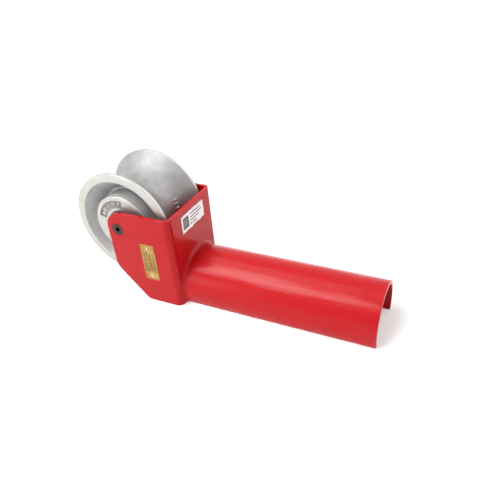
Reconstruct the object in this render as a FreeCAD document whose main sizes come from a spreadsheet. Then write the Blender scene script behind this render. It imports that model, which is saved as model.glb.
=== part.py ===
import FreeCAD, Part
import math
import os

import Sketcher
from FreeCAD import Placement, Rotation, Vector

# Cable duct entry guide. The origin is on the spigot's axis at the back plate's outer face.
# +X runs along the spigot into the duct, -Y is the side with the nameplate, +Z is up.

# Driving sizes, in millimetres and degrees
SIZES = {
    # Duct spigot, a steel tube with its underside cut away below its axis
    "spigot_od": 101.6,
    "spigot_wall": 5.7,
    "spigot_length": 295,
    "cut_height": 21,
    # Yoke bracket, bent from one plate
    "sheet_wall": 5,
    "side_gap": 8.2,
    "yoke_reach": 109,
    "yoke_top": 128,
    "bend_radius": 10,
    "nose_radius": 25,
    "heel_along": 49,
    "heel_rise": 54,
    "heel_radius": 12,
    "brow_radius": 25,
    "weld_leg": 6,
    "weld_bite": 3,
    # Axle and its screws
    "axle_back": 92,
    "axle_up": 100.5,
    "axle_dia": 20,
    "axle_chamfer": 0.8,
    "tap_depth": 26,
    "screw_dia": 10,
    "screw_head_dia": 20,
    "screw_length": 25,
    "head_angle": 90,
    "hex_flats": 6,
    "hex_depth": 3.5,
    "hex_turn": 15,
    "head_clearance": 0.15,
    "thread_clearance": 0.05,
    # Sheave
    "sheave_od": 164,
    "rim_land": 4.8,
    "groove_proud": 1,
    "flare_angle": 46,
    "rim_face": 12.3,
    "hub_dia": 94,
    "dish_depth": 28,
    "dish_floor": 4,
    "panel_inner_radius": 28.3,
    "panel_outer_radius": 40.5,
    "panel_start": 80,
    "panel_sweep": 85,
    "panel_depth": 1.5,
    # Roller bearings in the hub
    "bearing_od": 47,
    "bearing_width": 14,
    "seat_clearance": 0.02,
    "shoulder_height": 3,
    "pitch_dia": 34,
    "roller_dia": 8,
    "roller_length": 9,
    "roller_count": 9,
    "roller_clearance": 0.08,
    "rib_height": 1.6,
    "lip_height": 1.7,
    "cage_wall": 2.6,
    "cage_edge": 1.2,
    "window_clearance": 0.15,
    # Circlips and dust shields
    "circlip_inset": 2.5,
    "circlip_thickness": 1.75,
    "circlip_width": 3.6,
    "circlip_grip": 1.25,
    "circlip_clearance": 0.1,
    "circlip_opening": 30,
    "ear_radius": 2.6,
    "ear_hole_radius": 1.2,
    "shield_thickness": 1,
    "shield_gap": 0.4,
    # Spacers on the axle
    "spacer_wall": 3.3,
    "axle_clearance": 0.02,
    # Nameplate on the near side plate
    "nameplate_length": 62,
    "nameplate_breadth": 24,
    "nameplate_thickness": 0.8,
    "nameplate_corner": 1.5,
    "nameplate_back": 44.7,
    "nameplate_up": 52.2,
    "rivet_spacing": 49,
    "rivet_dia": 3,
    "rivet_clearance": 0.1,
    "rivet_head_dia": 5.5,
    "rivet_head_height": 1.2,
    # Paper label on the back plate
    "label_length": 62,
    "label_height": 28,
    "label_thickness": 0.3,
    "label_corner": 1.5,
    "label_side": 1.5,
    "label_up": 105,
}

# How far a cutting sketch reaches past the piece that it trims
OVERRUN = 10

# The least volume that counts as a cut, in cubic millimetres
LEAST_CUT = 0.01

doc = FreeCAD.newDocument("cable_duct_entry_guide")
sheet = doc.addObject("Spreadsheet::Sheet", "Sizes")
for row, (alias, number) in enumerate(SIZES.items(), start=1):
    sheet.set("A%d" % row, alias)
    sheet.set("B%d" % row, str(number))
    sheet.setAlias("B%d" % row, alias)
doc.recompute()


class Size:
    """A number with the sheet formula that gives it, so that what it drives is bound to the sheet."""

    def __init__(self, value, formula):
        self.value = value
        self.formula = formula

    def __add__(self, other):
        other = as_size(other)
        return Size(self.value + other.value, "(%s + %s)" % (self.formula, other.formula))

    def __sub__(self, other):
        other = as_size(other)
        return Size(self.value - other.value, "(%s - %s)" % (self.formula, other.formula))

    def __mul__(self, other):
        other = as_size(other)
        return Size(self.value * other.value, "(%s * %s)" % (self.formula, other.formula))

    def __truediv__(self, other):
        other = as_size(other)
        return Size(self.value / other.value, "(%s / %s)" % (self.formula, other.formula))

    def __neg__(self):
        return Size(-self.value, "(-%s)" % self.formula)

    def __radd__(self, other):
        return as_size(other) + self

    def __rsub__(self, other):
        return as_size(other) - self

    def __rmul__(self, other):
        return as_size(other) * self


def as_size(number):
    if isinstance(number, Size):
        return number
    return Size(float(number), repr(float(number)))


def cell(alias):
    return Size(float(sheet.get(alias)), "%s.%s" % (sheet.Name, alias))


def root(area):
    return Size(math.sqrt(area.value), "sqrt(%s)" % area.formula)


def sine(angle):
    return Size(math.sin(math.radians(angle.value)), "sin(%s)" % angle.formula)


def cosine(angle):
    return Size(math.cos(math.radians(angle.value)), "cos(%s)" % angle.formula)


def tangent(angle):
    return Size(math.tan(math.radians(angle.value)), "tan(%s)" % angle.formula)


def angle_of_slope(ratio):
    return Size(math.degrees(math.atan(ratio.value)), "(atan(%s) / 1deg)" % ratio.formula)


def angle_of_sine(ratio):
    return Size(math.degrees(math.asin(ratio.value)), "(asin(%s) / 1deg)" % ratio.formula)


# Sizes that several pieces share
spigot_radius = cell("spigot_od") / 2
channel_radius = spigot_radius - cell("spigot_wall")
groove_radius = channel_radius - cell("groove_proud")
groove_root = cell("axle_up") - groove_radius
groove_end = groove_root + groove_radius * (1 - cosine(cell("flare_angle")))
groove_side = groove_radius * sine(cell("flare_angle"))
rim_radius = cell("sheave_od") / 2
crest = groove_side + (rim_radius - groove_end) / tangent(cell("flare_angle"))
half_sheave = crest + cell("rim_land")
plate_gap = half_sheave + cell("side_gap")
half_yoke = plate_gap + cell("sheet_wall")
circlip_outer_face = half_sheave - cell("circlip_inset")
circlip_inner_face = circlip_outer_face - cell("circlip_thickness") - cell("circlip_clearance")
bearing_outer_face = circlip_inner_face - cell("shield_thickness")
bearing_inner_face = bearing_outer_face - cell("bearing_width")
bearing_middle = bearing_outer_face - cell("bearing_width") / 2
seat_radius = cell("bearing_od") / 2 + cell("seat_clearance")
bore_radius = cell("axle_dia") / 2 + cell("axle_clearance")
inner_track = cell("pitch_dia") / 2 - cell("roller_dia") / 2 - cell("roller_clearance")
outer_track = cell("pitch_dia") / 2 + cell("roller_dia") / 2 + cell("roller_clearance")
half_track = cell("roller_length") / 2 + cell("roller_clearance")
spacer_radius = cell("axle_dia") / 2 + cell("spacer_wall")
rivet_hole_radius = cell("rivet_dia") / 2 + cell("rivet_clearance")


# Helpers for bodies, sketches and features

def new_body(label, at=(0, 0, 0), turned=False):
    """A body named label, placed at a point, and turned half a turn about Z where it faces the far side."""
    body = doc.addObject("PartDesign::Body", label)
    body.Label = label
    spin = Rotation(Vector(0, 0, 1), 180 if turned else 0)
    body.Placement = Placement(Vector(*[as_size(distance).value for distance in at]), spin)
    for axis, distance in zip("xyz", at):
        if isinstance(distance, Size):
            body.setExpression("Placement.Base." + axis, distance.formula)
    return body


def origin_part(body, role):
    return next(part for part in body.Origin.OriginFeatures if part.Role == role)


def new_sketch(body, name, plane, offset=None):
    sketch = body.newObject("Sketcher::SketchObject", name)
    sketch.AttachmentSupport = [(origin_part(body, plane), "")]
    sketch.MapMode = "FlatFace"
    if offset is not None:
        sketch.AttachmentOffset = Placement(Vector(0, 0, offset.value), Rotation())
        sketch.setExpression("AttachmentOffset.Base.z", offset.formula)
    return sketch


def constrain(sketch, size, *arguments):
    """Adds a constraint of the given size and binds it to the sheet."""
    row = sketch.addConstraint(Sketcher.Constraint(*arguments, size.value))
    sketch.setExpression("Constraints[%d]" % row, size.formula)


def pin(sketch, edge, point, x, y):
    """Fixes one point of an edge at its distances from the sketch's origin."""
    for kind, axis, distance in (("DistanceX", -2, x), ("DistanceY", -1, y)):
        distance = as_size(distance)
        if distance.value == 0:
            sketch.addConstraint(Sketcher.Constraint("PointOnObject", edge, point, axis))
        elif distance.value > 0:
            constrain(sketch, distance, kind, -1, 1, edge, point)
        else:
            constrain(sketch, -distance, kind, edge, point, -1, 1)


def arc_through(start, end, radius, turn, major):
    """The arc from start to end, turning left for +1 and right for -1."""
    chord = end - start
    reach = math.sqrt(max(radius ** 2 - (chord.Length / 2) ** 2, 0))
    left = Vector(-chord.y, chord.x, 0).normalize()
    centre = (start + end) / 2 + left * reach * turn * (-1 if major else 1)
    first, last = (start, end) if turn > 0 else (end, start)
    angles = [math.atan2(point.y - centre.y, point.x - centre.x) for point in (first, last)]
    if angles[1] < angles[0]:
        angles[1] += 2 * math.pi
    return Part.ArcOfCircle(Part.Circle(centre, Vector(0, 0, 1), radius), *angles)


def outline(sketch, corners):
    """Draws a closed outline. A corner is (x, y), or (x, y, radius, turn, major) where an arc ends in it."""
    points = [Vector(as_size(corner[0]).value, as_size(corner[1]).value, 0) for corner in corners]
    ends = []
    for number, corner in enumerate(corners):
        start, end = points[number - 1], points[number]
        if len(corner) == 2:
            edge = sketch.addGeometry(Part.LineSegment(start, end))
            ends.append((edge, 1, 2))
        else:
            radius, turn, major = corner[2:]
            edge = sketch.addGeometry(arc_through(start, end, radius.value, turn, major))
            ends.append((edge, 1, 2) if turn > 0 else (edge, 2, 1))
    for number, corner in enumerate(corners):
        edge, _, last = ends[number]
        next_edge, first, _ = ends[(number + 1) % len(ends)]
        sketch.addConstraint(Sketcher.Constraint("Coincident", edge, last, next_edge, first))
        pin(sketch, edge, last, corner[0], corner[1])
        if len(corner) > 2:
            constrain(sketch, corner[2], "Radius", edge)


def circle(sketch, x, y, radius):
    centre = Vector(as_size(x).value, as_size(y).value, 0)
    edge = sketch.addGeometry(Part.Circle(centre, Vector(0, 0, 1), radius.value))
    pin(sketch, edge, 3, x, y)
    constrain(sketch, radius, "Radius", edge)


def rounded_rectangle(sketch, x, y, length, height, corner):
    left, right = x - length / 2, x + length / 2
    low, high = y - height / 2, y + height / 2
    outline(sketch, [
        (left + corner, low), (right - corner, low),
        (right, low + corner, corner, 1, False), (right, high - corner),
        (right - corner, high, corner, 1, False), (left + corner, high),
        (left, high - corner, corner, 1, False), (left, low + corner),
        (left + corner, low, corner, 1, False),
    ][1:])


def pad(body, name, sketch, length, symmetric=False):
    feature = body.newObject("PartDesign::Pad", name)
    feature.Profile = sketch
    feature.SideType = "Symmetric" if symmetric else "One side"
    feature.setExpression("Length", length.formula)
    return feature


def pocket(body, name, sketch, depth, reverse=False, symmetric=False):
    feature = body.newObject("PartDesign::Pocket", name)
    feature.Profile = sketch
    feature.SideType = "Symmetric" if symmetric else "One side"
    feature.Reversed = reverse
    feature.setExpression("Length", depth.formula)
    return feature


def revolve(body, name, sketch, axis="V_Axis", angle=None):
    """Turns a profile about one of its sketch's axes, a full turn or equally to both sides."""
    feature = body.newObject("PartDesign::Revolution", name)
    feature.Profile = sketch
    feature.ReferenceAxis = (sketch, [axis])
    if angle is None:
        feature.Angle = 360
    else:
        feature.Midplane = True
        feature.setExpression("Angle", angle.formula)
    return feature


def repeat_about_y(body, name, original, count):
    feature = body.newObject("PartDesign::PolarPattern", name)
    feature.Originals = [original]
    feature.Axis = (origin_part(body, "Y_Axis"), [""])
    feature.Angle = 360
    feature.setExpression("Occurrences", count.formula)
    body.Tip = feature
    return feature


def mirror_across(body, name, originals, plane):
    feature = body.newObject("PartDesign::Mirrored", name)
    feature.Originals = originals
    feature.MirrorPlane = (origin_part(body, plane), [""])
    body.Tip = feature
    return feature


def turned_piece(label, corners, at, turned=False):
    """A lathe piece: corners are (radius, distance along Y) from its own middle."""
    body = new_body(label, at, turned)
    profile = new_sketch(body, label + "_profile", "XY_Plane")
    outline(profile, corners)
    revolve(body, label + "_turning", profile)
    return body


def on_axle(along):
    return (-cell("axle_back"), along, cell("axle_up"))


# Yoke bracket: a bent plate, trimmed to its side outline, with the channel's opening in its back

def yoke_bracket():
    body = new_body("yoke_bracket")
    bend = cell("bend_radius")
    inside_bend = bend - cell("sheet_wall")
    bend_side = half_yoke - bend
    front = -cell("yoke_reach")
    height = cell("yoke_top") + cell("cut_height")

    plan = new_sketch(body, "yoke_plan", "XY_Plane", -cell("cut_height"))
    outline(plan, [
        (front, -half_yoke),
        (-bend, -half_yoke),
        (0, -bend_side, bend, 1, False),
        (0, bend_side),
        (-bend, half_yoke, bend, 1, False),
        (front, half_yoke),
        (front, plate_gap),
        (-bend, plate_gap),
        (-cell("sheet_wall"), bend_side, inside_bend, -1, False),
        (-cell("sheet_wall"), -bend_side),
        (-bend, -plate_gap, inside_bend, -1, False),
        (front, -plate_gap),
    ])
    pad(body, "bent_plate", plan, height)

    trim = new_sketch(body, "side_outline", "XZ_Plane")
    slope = angle_of_slope(cell("heel_rise") / cell("heel_along"))
    floor = -cell("cut_height")
    heel = -cell("yoke_reach") + cell("heel_along")
    brow = floor + cell("heel_rise")
    heel_run = cell("heel_radius") * tangent(slope / 2)
    brow_run = cell("brow_radius") * tangent((90 - slope) / 2)
    top = cell("yoke_top")
    nose = cell("nose_radius")
    outline(trim, [
        (OVERRUN, floor),
        (heel + heel_run, floor),
        (heel - heel_run * cosine(slope), floor + heel_run * sine(slope), cell("heel_radius"), -1, False),
        (front + brow_run * cosine(slope), brow - brow_run * sine(slope)),
        (front, brow + brow_run, cell("brow_radius"), -1, False),
        (front, top - nose),
        (front + nose, top, nose, -1, False),
        (OVERRUN, top),
    ])
    outline(trim, [
        (front - OVERRUN, floor - OVERRUN),
        (2 * OVERRUN, floor - OVERRUN),
        (2 * OVERRUN, top + OVERRUN),
        (front - OVERRUN, top + OVERRUN),
    ])
    pocket(body, "side_trim", trim, half_yoke * 2 + OVERRUN, symmetric=True)

    opening = new_sketch(body, "channel_opening", "YZ_Plane")
    circle(opening, 0, 0, channel_radius)
    pocket(body, "channel_cut", opening, cell("sheet_wall") + OVERRUN)

    for side, offset, reverse in (("near", half_yoke, False), ("far", -half_yoke, True)):
        centre = new_sketch(body, "screw_centre_" + side, "XZ_Plane", offset)
        circle(centre, -cell("axle_back"), cell("axle_up"), cell("screw_dia") / 2)
        doc.recompute()
        hole = body.newObject("PartDesign::Hole", "screw_hole_" + side)
        hole.Profile = centre
        hole.Reversed = reverse
        hole.DepthType = "Dimension"
        hole.DrillPoint = "Flat"
        hole.ThreadType = "None"
        hole.HoleCutType = "Countersink"
        hole.HoleCutCustomValues = True
        hole.setExpression("Depth", (cell("sheet_wall") * 2).formula)
        hole.setExpression("Diameter", (cell("screw_dia") + cell("head_clearance") * 2).formula)
        hole.setExpression("HoleCutDiameter", (cell("screw_head_dia") + cell("head_clearance") * 2).formula)
        hole.setExpression("HoleCutCountersinkAngle", cell("head_angle").formula)
        doc.recompute()

    rivets = new_sketch(body, "rivet_hole_centres", "XZ_Plane", half_yoke)
    for end in (-1, 1):
        height = cell("nameplate_up") + cell("rivet_spacing") / 2 * end
        circle(rivets, -cell("nameplate_back"), height, rivet_hole_radius)
    pocket(body, "rivet_holes", rivets, cell("sheet_wall") * 2)
    return body


# Duct spigot: the upper part of a round tube, open along its underside

def duct_spigot():
    body = new_body("duct_spigot")
    section = new_sketch(body, "tube_section", "YZ_Plane")
    floor = -cell("cut_height")
    outside = root(spigot_radius * spigot_radius - floor * floor)
    inside = root(channel_radius * channel_radius - floor * floor)
    outline(section, [
        (outside, floor),
        (-outside, floor, spigot_radius, 1, True),
        (-inside, floor),
        (inside, floor, channel_radius, -1, True),
    ])
    pad(body, "tube", section, cell("spigot_length"))
    return body


# Weld: a fillet bead round the spigot, trimmed by the bracket that it lies against

def spigot_weld(bracket):
    body = new_body("weld_bead")
    section = new_sketch(body, "bead_section", "XZ_Plane")
    leg = cell("weld_leg")
    outline(section, [
        (-cell("weld_bite"), spigot_radius),
        (leg, spigot_radius),
        (0, spigot_radius + leg),
        (-cell("weld_bite"), spigot_radius + leg),
    ])
    dip = angle_of_sine(cell("cut_height") / (spigot_radius + leg))
    revolve(body, "bead", section, "H_Axis", 180 + 2 * dip)
    weld = doc.addObject("Part::Cut", "spigot_weld")
    weld.Label = "spigot_weld"
    weld.Base = body
    weld.Tool = bracket
    return weld


# Sheave: its groove follows the inside of the spigot and flares to the rim, its sides are dished

def sheave():
    hub = cell("hub_dia") / 2
    dish_bottom = half_sheave - cell("dish_depth")
    ring_groove = seat_radius + cell("circlip_grip")
    half_profile = [
        (seat_radius - cell("shoulder_height"), bearing_inner_face),
        (seat_radius, bearing_inner_face),
        (seat_radius, circlip_inner_face),
        (ring_groove, circlip_inner_face),
        (ring_groove, circlip_outer_face),
        (seat_radius, circlip_outer_face),
        (seat_radius, half_sheave),
        (hub, half_sheave),
        (hub, dish_bottom),
        (hub + cell("dish_floor"), dish_bottom),
        (rim_radius - cell("rim_face"), half_sheave),
        (rim_radius, half_sheave),
        (rim_radius, crest),
        (groove_end, groove_side),
    ]
    near_half = [(radius, -along) for radius, along in reversed(half_profile)]
    near_half[0] = near_half[0] + (groove_radius, 1, False)
    body = turned_piece("sheave", half_profile + near_half, on_axle(0))

    inner = cell("panel_inner_radius")
    outer = cell("panel_outer_radius")
    start = cell("panel_start")
    end = start + cell("panel_sweep")
    for side, offset, reverse in (("near", half_sheave, False), ("far", -half_sheave, True)):
        panel = new_sketch(body, "panel_" + side, "XZ_Plane", offset)
        outline(panel, [
            (outer * cosine(start), outer * sine(start)),
            (outer * cosine(end), outer * sine(end), outer, 1, False),
            (inner * cosine(end), inner * sine(end)),
            (inner * cosine(start), inner * sine(start), inner, -1, False),
        ])
        pocket(body, "panel_recess_" + side, panel, cell("panel_depth"), reverse)
    return body


# Axle: a shaft that fills the gap between the side plates, tapped for a flush screw at each end

def axle_shaft():
    radius = cell("axle_dia") / 2
    tap = cell("screw_dia") / 2 + cell("thread_clearance")
    bottom = plate_gap - cell("tap_depth")
    chamfer = cell("axle_chamfer")
    half_profile = [
        (0, bottom),
        (tap, bottom),
        (tap, plate_gap),
        (radius - chamfer, plate_gap),
        (radius, plate_gap - chamfer),
    ]
    far_half = [(across, -along) for across, along in reversed(half_profile)]
    return turned_piece("axle_shaft", half_profile + far_half, on_axle(0))


def axle_screws():
    """Two flat-head screws whose head faces are flush with the side plates."""
    body = new_body("axle_screws", on_axle(0))
    body.AllowCompound = True
    head = cell("screw_head_dia") / 2
    shank = cell("screw_dia") / 2
    cone = (head - shank) / tangent(cell("head_angle") / 2)
    profile = new_sketch(body, "screw_profile", "XY_Plane")
    outline(profile, [
        (0, -half_yoke),
        (head, -half_yoke),
        (shank, cone - half_yoke),
        (shank, cell("screw_length") - half_yoke),
        (0, cell("screw_length") - half_yoke),
    ])
    screw = revolve(body, "screw", profile)
    socket = new_sketch(body, "socket", "XZ_Plane", half_yoke)
    corner = cell("hex_flats") / root(as_size(3))
    angles = [cell("hex_turn") + 60 * step for step in range(6)]
    outline(socket, [(corner * cosine(angle), corner * sine(angle)) for angle in angles])
    recess = pocket(body, "socket_recess", socket, cell("hex_depth"))
    mirror_across(body, "screw_pair", [screw, recess], "XZ_Plane")
    return body


# Roller bearings: their parts are drawn from the bearing's own middle, with +Y towards the hub's face

def at_bearing(side):
    near = side == "near"
    return {"at": on_axle(-bearing_middle if near else bearing_middle), "turned": near}


def inner_race(side):
    half_width = cell("bearing_width") / 2
    rib = inner_track + cell("rib_height")
    return turned_piece("inner_race_" + side, [
        (bore_radius, -half_width),
        (inner_track, -half_width),
        (inner_track, half_track),
        (rib, half_track),
        (rib, half_width),
        (bore_radius, half_width),
    ], **at_bearing(side))


def outer_race(side):
    half_width = cell("bearing_width") / 2
    outside = cell("bearing_od") / 2
    lip = outer_track - cell("lip_height")
    return turned_piece("outer_race_" + side, [
        (outside, -half_width),
        (outside, half_width),
        (lip, half_width),
        (lip, half_track),
        (outer_track, half_track),
        (outer_track, -half_track),
        (lip, -half_track),
        (lip, -half_width),
    ], **at_bearing(side))


def bearing_rollers(side):
    body = new_body("bearing_rollers_" + side, **at_bearing(side))
    body.AllowCompound = True
    section = new_sketch(body, "roller_section_" + side, "XZ_Plane")
    circle(section, cell("pitch_dia") / 2, 0, cell("roller_dia") / 2)
    roller = pad(body, "roller_" + side, section, cell("roller_length"), symmetric=True)
    repeat_about_y(body, "roller_ring_" + side, roller, cell("roller_count"))
    return body


def roller_cage(side):
    body = new_body("roller_cage_" + side, **at_bearing(side))
    inside = cell("pitch_dia") / 2 - cell("cage_wall") / 2
    outside = inside + cell("cage_wall")
    half_window = cell("roller_length") / 2 + cell("window_clearance")
    half_gap = cell("roller_dia") / 2 + cell("window_clearance")
    ring = new_sketch(body, "cage_ring_" + side, "XZ_Plane")
    circle(ring, 0, 0, outside)
    circle(ring, 0, 0, inside)
    pad(body, "cage_blank_" + side, ring, (half_window + cell("cage_edge")) * 2, symmetric=True)
    window = new_sketch(body, "cage_window_" + side, "YZ_Plane")
    outline(window, [
        (-half_window, -half_gap),
        (half_window, -half_gap),
        (half_window, half_gap),
        (-half_window, half_gap),
    ])
    cut = pocket(body, "cage_opening_" + side, window, outside + OVERRUN, reverse=True)
    repeat_about_y(body, "cage_openings_" + side, cut, cell("roller_count"))
    return body


def dust_shield(side):
    """A flat ring between the outer race and the circlip, clear of the inner race's rib."""
    inside = inner_track + cell("rib_height") + cell("shield_gap")
    outside = cell("bearing_od") / 2
    face = cell("bearing_width") / 2
    back = face + cell("shield_thickness")
    return turned_piece("dust_shield_" + side, [
        (inside, face),
        (outside, face),
        (outside, back),
        (inside, back),
    ], **at_bearing(side))


def circlips():
    """Two internal circlips: open rings in the hub's grooves, with a holed ear at each end."""
    body = new_body("circlips", on_axle(0))
    body.AllowCompound = True
    outside = seat_radius + cell("circlip_grip") - cell("circlip_clearance")
    inside = outside - cell("circlip_width")
    half_opening = cell("circlip_opening") / 2
    ring = new_sketch(body, "circlip_ring", "XZ_Plane", circlip_outer_face)
    outline(ring, [
        (outside * sine(half_opening), outside * cosine(half_opening)),
        (-outside * sine(half_opening), outside * cosine(half_opening), outside, -1, True),
        (-inside * sine(half_opening), inside * cosine(half_opening)),
        (inside * sine(half_opening), inside * cosine(half_opening), inside, 1, True),
    ])
    ears = new_sketch(body, "circlip_ears", "XZ_Plane", circlip_outer_face)
    holes = new_sketch(body, "circlip_ear_holes", "XZ_Plane", circlip_outer_face)
    ear_reach = inside - cell("ear_radius") / 2
    for end in (-1, 1):
        x = ear_reach * sine(half_opening) * end
        y = ear_reach * cosine(half_opening)
        circle(ears, x, y, cell("ear_radius"))
        circle(holes, x, y, cell("ear_hole_radius"))
    band = pad(body, "circlip_band", ring, cell("circlip_thickness"))
    ear_pair = pad(body, "circlip_ear_pair", ears, cell("circlip_thickness"))
    for feature in (band, ear_pair):
        feature.Reversed = True
    ear_holes = pocket(body, "circlip_ear_cut", holes, cell("circlip_thickness"))
    mirror_across(body, "circlip_pair", [band, ear_pair, ear_holes], "XZ_Plane")
    return body


# Spacers on the axle: one between the inner races, one from each bearing to its side plate

def tube_on_axle(label, start, end):
    return turned_piece(label, [
        (bore_radius, start),
        (spacer_radius, start),
        (spacer_radius, end),
        (bore_radius, end),
    ], on_axle(0))


# Nameplate, its rivets and the paper label

def nameplate():
    body = new_body("nameplate")
    shape = new_sketch(body, "nameplate_outline", "XZ_Plane", half_yoke)
    x, y = -cell("nameplate_back"), cell("nameplate_up")
    rounded_rectangle(
        shape, x, y, cell("nameplate_breadth"), cell("nameplate_length"), cell("nameplate_corner"))
    for end in (-1, 1):
        circle(shape, x, y + cell("rivet_spacing") / 2 * end, rivet_hole_radius)
    pad(body, "nameplate_blank", shape, cell("nameplate_thickness"))
    return body


def nameplate_rivets():
    """Two flat-headed rivets, from the nameplate's face through the side plate."""
    body = new_body("nameplate_rivets", (-cell("nameplate_back"), -half_yoke, cell("nameplate_up")))
    body.AllowCompound = True
    profile = new_sketch(body, "rivet_profile", "XY_Plane", cell("rivet_spacing") / 2)
    seat = -cell("nameplate_thickness")
    crown = seat - cell("rivet_head_height")
    head = cell("rivet_head_dia") / 2
    shank = cell("rivet_dia") / 2
    outline(profile, [
        (0, crown),
        (head, crown),
        (head, seat),
        (shank, seat),
        (shank, cell("sheet_wall")),
        (0, cell("sheet_wall")),
    ])
    rivet = revolve(body, "rivet", profile)
    mirror_across(body, "rivet_pair", [rivet], "XY_Plane")
    return body


def paper_label():
    body = new_body("paper_label")
    shape = new_sketch(body, "label_outline", "YZ_Plane")
    rounded_rectangle(
        shape, cell("label_side"), cell("label_up"),
        cell("label_length"), cell("label_height"), cell("label_corner"))
    pad(body, "label_sheet", shape, cell("label_thickness"))
    return body


# The whole guide

bracket = yoke_bracket()
pieces = [
    bracket,
    duct_spigot(),
    spigot_weld(bracket),
    sheave(),
    axle_shaft(),
    axle_screws(),
    circlips(),
    nameplate(),
    nameplate_rivets(),
    paper_label(),
    tube_on_axle("bearing_spacer", -bearing_inner_face, bearing_inner_face),
    tube_on_axle("side_spacer_near", -plate_gap, -bearing_outer_face),
    tube_on_axle("side_spacer_far", bearing_outer_face, plate_gap),
]
for side in ("near", "far"):
    pieces += [
        inner_race(side),
        outer_race(side),
        bearing_rollers(side),
        roller_cage(side),
        dust_shield(side),
    ]

doc.recompute()

# Nothing is written unless every object is sound and every cut has removed something
for thing in doc.Objects:
    if "Invalid" in thing.State or "Error" in thing.State:
        raise RuntimeError("%s is in state %s" % (thing.Label, thing.State))
    if thing.TypeId in ("PartDesign::Pocket", "PartDesign::Hole"):
        if thing.Shape.Volume > thing.BaseFeature.Shape.Volume - LEAST_CUT:
            raise RuntimeError("%s cuts nothing" % thing.Label)
for piece in pieces:
    if piece.Shape.isNull() or not piece.Shape.isValid():
        raise RuntimeError("%s has no valid shape" % piece.Label)

os.makedirs("parts", exist_ok=True)
for piece in pieces:
    piece.Shape.exportStep("parts/%s.step" % piece.Label)
    box = piece.Shape.BoundBox
    print("%-22s %2d solids %9.0f mm3  x %.1f..%.1f  y %.1f..%.1f  z %.1f..%.1f" % (
        piece.Label, len(piece.Shape.Solids), piece.Shape.Volume,
        box.XMin, box.XMax, box.YMin, box.YMax, box.ZMin, box.ZMax))
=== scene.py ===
import math
import random

import bmesh
import bpy
from mathutils import Matrix, Vector, noise


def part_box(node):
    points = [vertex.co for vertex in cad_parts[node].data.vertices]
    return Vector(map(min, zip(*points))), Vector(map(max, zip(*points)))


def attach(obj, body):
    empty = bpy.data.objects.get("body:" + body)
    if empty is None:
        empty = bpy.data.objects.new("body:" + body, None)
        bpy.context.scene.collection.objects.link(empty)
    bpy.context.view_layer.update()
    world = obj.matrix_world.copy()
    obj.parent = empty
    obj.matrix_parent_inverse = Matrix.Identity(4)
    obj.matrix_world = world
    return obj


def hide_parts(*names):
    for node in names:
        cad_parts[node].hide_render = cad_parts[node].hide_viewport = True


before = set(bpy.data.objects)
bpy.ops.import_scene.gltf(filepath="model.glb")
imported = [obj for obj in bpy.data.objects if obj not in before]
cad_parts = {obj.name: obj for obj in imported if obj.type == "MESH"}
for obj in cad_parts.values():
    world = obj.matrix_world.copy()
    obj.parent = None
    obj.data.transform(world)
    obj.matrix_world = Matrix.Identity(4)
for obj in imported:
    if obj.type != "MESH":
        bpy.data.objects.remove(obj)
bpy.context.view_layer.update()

# Cable duct entry guide: a cast sheave in a bent yoke, with a tubular spigot for the duct's mouth.
# Lengths are in metres. +X runs along the spigot, -Y is the nameplate's side, +Z is up.

MM = 0.001
rng = random.Random(7)

# Sizes read from the frame
YOKE_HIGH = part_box("yoke_bracket")[1]
SPIGOT_LOW, SPIGOT_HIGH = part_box("duct_spigot")
SHEAVE_LOW, SHEAVE_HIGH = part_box("sheave")
RACE_LOW, RACE_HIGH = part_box("outer_race_far")
CIRCLIP_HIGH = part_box("circlips")[1]
SCREW_LOW, SCREW_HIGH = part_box("axle_screws")
PLATE_LOW, PLATE_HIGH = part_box("nameplate")
RIVET_LOW, RIVET_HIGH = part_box("nameplate_rivets")
LABEL_LOW, LABEL_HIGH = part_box("paper_label")

FLOOR = SPIGOT_LOW.z
SPIGOT_RADIUS = SPIGOT_HIGH.z
HALF_YOKE = YOKE_HIGH.y
HALF_SHEAVE = SHEAVE_HIGH.y
RIM_RADIUS = (SHEAVE_HIGH.z - SHEAVE_LOW.z) / 2
AXLE = (SHEAVE_LOW + SHEAVE_HIGH) / 2

# Sizes that a box doesn't give
TUBE_WALL = 5.7 * MM
BEND_RADIUS = 10 * MM
WELD_LEG = 6 * MM
GROOVE_PROUD = 1 * MM
FLARE = math.radians(46)
RIM_LAND = 4.8 * MM
RIM_FACE = 12.3 * MM
HUB_RADIUS = 47 * MM
DISH_DEPTH = 28 * MM
DISH_FLOOR = 4 * MM
SEAT_CLEARANCE = 0.02 * MM
SHOULDER_HEIGHT = 3 * MM
CIRCLIP_GAP = 1.85 * MM
CIRCLIP_GRIP = 1.25 * MM
PANEL_INNER = 28.3 * MM
PANEL_OUTER = 40.5 * MM
PANEL_START = math.radians(80)
PANEL_SWEEP = math.radians(85)
PANEL_DEPTH = 1.5 * MM
PANEL_DRAFT = 0.5 * MM
HEX_APOTHEM = 3 * MM
HEX_DEPTH = 3.5 * MM
HEX_TURN = math.radians(15)
SCREW_SHANK = 5 * MM
SCREW_LENGTH = 25 * MM
RIVET_SHANK = 1.5 * MM
SHEET_WALL = 5 * MM

GROOVE_RADIUS = SPIGOT_RADIUS - TUBE_WALL - GROOVE_PROUD
GROOVE_ROOT = AXLE.z - GROOVE_RADIUS
GROOVE_SIDE = GROOVE_RADIUS * math.sin(FLARE)

# Points nearer to a face than this lie on it, and glued pieces stand this far off what carries them
FACE_TOLERANCE = 0.01 * MM


# Colour and shader helpers

# A Mix node has sockets of one name for numbers and for colours, so those for colours go by number
FACTOR, FIRST, SECOND, MIXED = 0, 6, 7, 2

# The materials by name, as new_finish adds them
FINISHES = {}


def srgb(code):
    """The linear colour of an sRGB hex code."""
    channels = [int(code[place:place + 2], 16) / 255 for place in (1, 3, 5)]
    return [c / 12.92 if c <= 0.04045 else ((c + 0.055) / 1.055) ** 2.4 for c in channels] + [1]


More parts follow.
